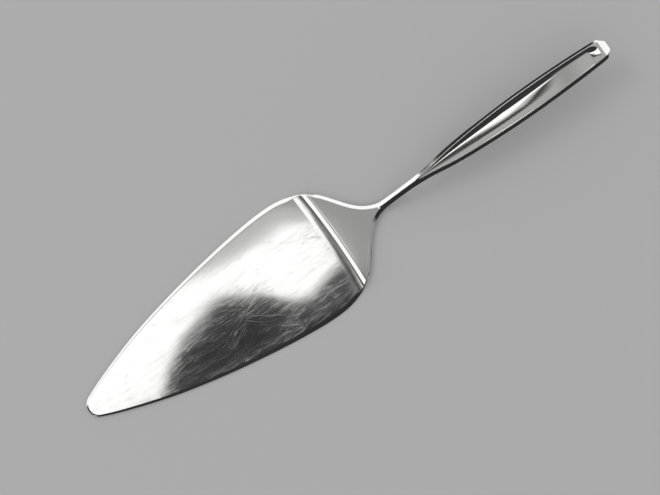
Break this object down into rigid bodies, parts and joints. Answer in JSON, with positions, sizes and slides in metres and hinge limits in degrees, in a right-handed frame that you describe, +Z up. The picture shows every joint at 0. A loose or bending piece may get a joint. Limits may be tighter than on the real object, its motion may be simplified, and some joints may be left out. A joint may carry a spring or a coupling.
{
  "type": "cake server",
  "caption": "Cake server with a wide pointed flat blade, a bevelled shoulder soldered over its rear edge, a cranked ridged neck and a hollow handle with a shallow trough.",
  "frame": {"origin": "on the table, under the middle of the whole length, on the centre line", "axes": "+X from the blade's tip to the handle's end, +Y across, +Z up from the table that the blade lies on"},
  "size_m": [0.2576, 0.0536, 0.02],
  "materials": {
    "blade_metal": "mirror polished, with fine lengthwise wear scratches",
    "solder": "silver solder, polished flush with the sheet",
    "shoulder_metal": "mirror polished, with bright bevels",
    "handle_metal": "mirror polished, with fine wear scratches",
    "filler": "cast resin filler, rough"
  },
  "bodies": {
    "root": {"blade": "blade_metal", "lap_solder": "solder", "shoulder_and_tang": "shoulder_metal", "handle_top_shell": "handle_metal", "handle_bottom_shell": "handle_metal", "handle_filler": "filler"}
  },
  "joints": []
}
